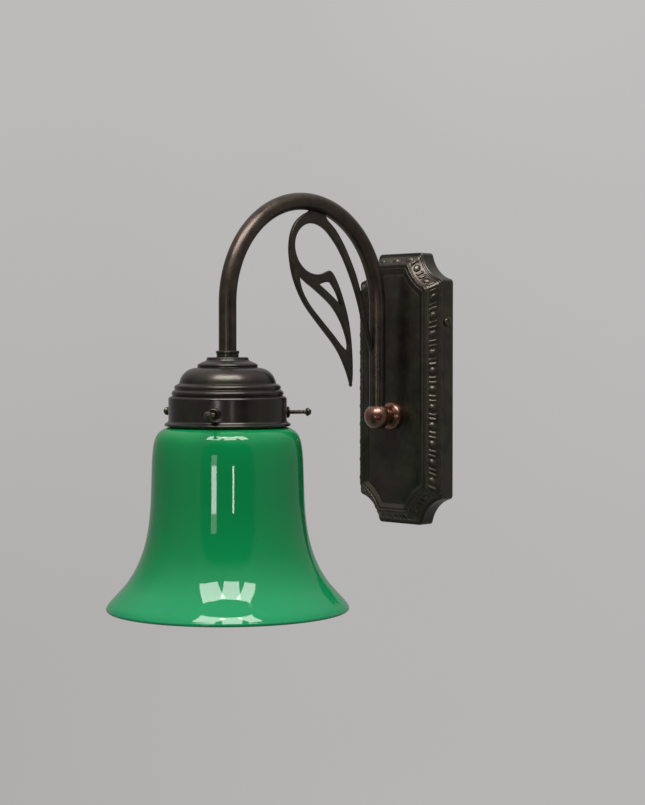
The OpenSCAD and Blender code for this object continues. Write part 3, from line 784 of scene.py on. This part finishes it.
def make_turned_pieces():
    """Every piece that is round about one axis."""
    for node in ("gallery", "neck_collar", "lampholder_cap", "lampholder_body"):
        turned(node, steps=160 if node == "gallery" else 96)
    turned("arm_flange", origin=middle("arm_flange"), axis=OUT, steps=96)
    turned("nipple_washer", origin=middle("nipple_washer"), axis=OUT, steps=64)
    for node, axis, origin in (("arm_nipple", OUT, middle("arm_nipple")), ("gallery_nipple", UP, SHADE_AXIS)):
        low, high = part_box(node)
        ends = sorted((p - origin).dot(axis) for p in (low, high))
        thread = Thread(M10_R, ends[0] + 0.3 * MM, ends[1] - 0.3 * MM, M10_PITCH, 0.5 * MM)
        turned(node, origin, axis, 0.2 * MM, 64, thread, thread.refine)
    low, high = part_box("thread_shell")
    thread = Thread(E27_R, low.z + 1 * MM, high.z - 2 * MM, E27_PITCH, -0.4 * MM, soft=True)
    turned("thread_shell", thread=thread, refine=thread.refine)
    for node in ("bulb_insulator", "bulb_contact", "bulb_stem"):
        turned(node, steps=64)
    turned("bulb_glass", steps=128)
    bulb_cap()
    for k in (1, 2, 3):
        travel, turn = joint(f"thumb_screw_{k}_travel"), joint(f"thumb_screw_{k}_turn")
        origin, axis = Vector(turn["pos_m"]), Vector(travel["axis"]).normalized()
        turned(f"lock_nut_{k}", origin, axis, 0.25 * MM, 64)
        outline, _ = meridian(f"thumb_screw_{k}", origin, axis)
        start = min(h for r, h in outline)
        thread = Thread(M3_R, start + 0.8 * MM, start + 21 * MM, M3_PITCH, 0.27 * MM)
        turned(f"thumb_screw_{k}", origin, axis, 0.35 * MM, 40, thread, thread.refine)


def bulb_cap():
    """The bulb's screw cap, its zigzag replaced by a rolled thread."""
    outline, closed = meridian("bulb_cap", SHADE_AXIS, UP)
    crest = max(r for r, h in outline)
    plain = [(r, h) for r, h in outline if abs(r - crest) > 0.05 * MM]
    wall = sorted({h for r, h in outline if 0.4 * MM < crest - r < 0.7 * MM})
    plain = [(r, h) for r, h in plain if not (wall[0] < h < wall[-1] and crest - r < 0.7 * MM)]
    mid = crest - 0.3 * MM
    plain = [(mid if 0.4 * MM < crest - r < 0.7 * MM else r, h) for r, h in plain]
    thread = Thread(mid, wall[0] + 0.5 * MM, wall[-1] - 0.5 * MM, E27_PITCH, -0.3 * MM, soft=True)
    outline = thread.refine(rounded(plain, closed, 0.3 * MM), closed)
    points, faces = lathe(outline, closed, SHADE_AXIS, UP, 96, thread)
    add_piece("bulb_cap", mesh_from("bulb_cap", points, faces))


plate_piece()
leaf_piece()
shade_piece()
make_turned_pieces()
for node in ("mounting_bracket", "earth_lug", "terminal_block", "terminal_tubes", "nipple_nut"):
    finished(node, 0.2 * MM)
for node in ("side_screws", "earth_screw", "terminal_screws", "block_screw", "contact_screws",
             "lampholder_core", "centre_contact"):
    finished(node, 0.1 * MM)
for node in ("live_wire", "neutral_wire", "earth_wire", "bulb_filament"):
    finished(node, sharp=60, bevel=False)
for node in ("ball_joint", "arm_tube"):
    nodes[node].data.materials.clear()
    nodes[node].data.materials.append(material(slot_of[node]))


# ------------------------------------------------------------------ stage


def world_light():
    """Soft light from a room: a brighter ceiling, dim walls that are paler behind the lamp, a
    dark part of the room in front of it and a dim corner to the left."""
    world = bpy.data.worlds.new("room")
    bpy.context.scene.world = world
    world.use_nodes = True
    tree = world.node_tree
    background = tree.nodes["Background"]
    direction = tree.nodes.new("ShaderNodeTexCoord").outputs["Generated"]

    def value(socket, number):
        if isinstance(number, bpy.types.NodeSocket):
            tree.links.new(number, socket)
        else:
            socket.default_value = number

    def span(number, start, end, low, high):
        node = tree.nodes.new("ShaderNodeMapRange")
        node.interpolation_type = "SMOOTHSTEP"
        for key, item in zip(("Value", "From Min", "From Max", "To Min", "To Max"),
                             (number, start, end, low, high)):
            value(node.inputs[key], item)
        return node.outputs["Result"]

    def mathed(operation, a, b):
        node = tree.nodes.new("ShaderNodeMath")
        node.operation = operation
        value(node.inputs[0], a)
        value(node.inputs[1], b)
        return node.outputs[0]

    split = tree.nodes.new("ShaderNodeSeparateXYZ")
    tree.links.new(direction, split.inputs[0])
    height = split.outputs["Z"]
    to_camera = CAMERA_AT - SHADE_AXIS

    def towards(azimuth):
        """The cosine of the angle off that heading, measured as for the panels."""
        heading = math.atan2(to_camera.y, to_camera.x) + math.radians(azimuth)
        node = tree.nodes.new("ShaderNodeVectorMath")
        node.operation = "DOT_PRODUCT"
        tree.links.new(direction, node.inputs[0])
        node.inputs[1].default_value = (math.cos(heading), math.sin(heading), 0)
        return node.outputs["Value"]

    facing = towards(0)
    around = span(facing, -0.5, 0.6, 0.28, 0.24)
    wall = mathed("ADD", around, span(height, 0.25, 0.9, 0.0, 0.4))

    def cosine(degrees):
        return math.cos(math.radians(degrees))

    dark = span(facing, cosine(44), cosine(36), 0.0, 1.0)
    dark = mathed("MULTIPLY", dark, span(mathed("ABSOLUTE", height, 0), 0.45, 0.7, 0.85, 0.0))
    corner = span(towards(-112), cosine(38), cosine(18), 1.0, 0.7)
    light = mathed("MULTIPLY", mathed("MULTIPLY", wall, corner), mathed("SUBTRACT", 1.0, dark))
    value(background.inputs["Strength"], light)
    background.inputs["Color"].default_value = (1.0, 0.99, 0.975, 1)


def panel(name, azimuth, elevation, distance, width, height, power, colour=(1, 1, 1)):
    """A soft light that faces the shade, azimuth degrees to the right of the way from the
    shade to the camera as seen from the camera, and elevation above."""
    data = bpy.data.lights.new(name, "AREA")
    data.shape = "RECTANGLE"
    data.size, data.size_y = width, height
    data.energy = power
    data.color = colour
    light = bpy.data.objects.new(name, data)
    bpy.context.scene.collection.objects.link(light)
    target = middle("shade")
    to_camera = CAMERA_AT - target
    heading = math.atan2(to_camera.y, to_camera.x) + math.radians(azimuth)
    rise = math.radians(elevation)
    away = Vector((math.cos(heading) * math.cos(rise), math.sin(heading) * math.cos(rise), math.sin(rise)))
    light.location = target + away * distance
    light.rotation_euler = away.to_track_quat("Z", "Y").to_euler()
    light.visible_camera = False


def make_lights():
    """A skylight of three panes, and the two narrow windows that show in the glass."""
    for pane, azimuth, width in (("left", -29, 0.74), ("middle", 5, 0.62), ("right", 33, 0.46)):
        panel("skylight_" + pane, azimuth, 59, 2.3, width, 0.95, 29 * width, (1.0, 0.985, 0.96))
    panel("window_left", -20, 4, 2.6, 0.36, 0.5, 1.2)
    panel("window_left_pane", -20, 0.5, 2.5, 0.3, 0.2, 1.5)
    panel("window_right", 8, 0.5, 2.6, 0.1, 0.2, 0.9, (1.0, 0.94, 0.84))


def backdrop():
    """A round floor that sweeps up into a pale wall far behind the lamp, glowing by itself with painted light that
    is brighter upwards and to the right.
    """
    floor_z, floor_r, sweep, top = -1.75, 2.8, 0.9, 4.0
    outline = [(0.0, floor_z), (floor_r * 0.5, floor_z), (floor_r, floor_z)]
    outline += [(floor_r + sweep * math.sin(a), floor_z + sweep * (1 - math.cos(a)))
                for a in (math.pi / 2 * k / 16 for k in range(1, 17))]
    outline += [(floor_r + sweep, floor_z + sweep + 1.2), (floor_r + sweep * 0.9, top)]
    outline += [((floor_r + sweep * 0.9) * math.cos(a), top + 1.6 * math.sin(a))
                for a in (math.pi / 2 * k / 16 for k in range(1, 16))]
    outline += [(0.0, top + 1.6)]
    mesh = mesh_from("backdrop", *lathe(outline, False, Vector((0, 0, 0)), UP, 128))
    for polygon in mesh.polygons:
        polygon.use_smooth = True
    s = Surface("backdrop", Roughness=1.0, Base_Color=(0.0, 0.0, 0.0), Specular_IOR_Level=0.0)
    split = s.add("ShaderNodeSeparateXYZ", Vector=s.place)
    heading = math.radians(CAMERA_HEADING)
    right = s.math("ADD", s.math("MULTIPLY", split.outputs["X"], math.cos(heading)),
                   s.math("MULTIPLY", split.outputs["Y"], math.sin(heading)))
    # Painted light: the glow rises towards the top and towards the camera's right, as light falling on a wall.
    painted_light_falloff = s.math("MULTIPLY", s.span(split.outputs["Z"], -1.3, 1.1, 0.455, 0.51),
                      s.span(right, -1.0, 0.8, 0.96, 1.04))
    shade_in = s.span(s.noise(0.5, 2, 0.5), 0.3, 0.7, 0.97, 1.03)
    s.set(Emission_Color=(1.0, 0.985, 0.972), Emission_Strength=s.math("MULTIPLY", painted_light_falloff, shade_in))
    mesh.materials.append(s.material)
    stage = bpy.data.objects.new("backdrop", mesh)
    bpy.context.scene.collection.objects.link(stage)
    for ray in ("diffuse", "glossy", "shadow", "volume_scatter"):
        setattr(stage, "visible_" + ray, False)


world_light()
make_lights()
backdrop()
bpy.context.scene.view_settings.view_transform = "Standard"
bpy.context.scene.view_settings.look = "None"
bpy.context.scene.cycles.max_bounces = 8
bpy.context.scene.cycles.transparent_max_bounces = 8
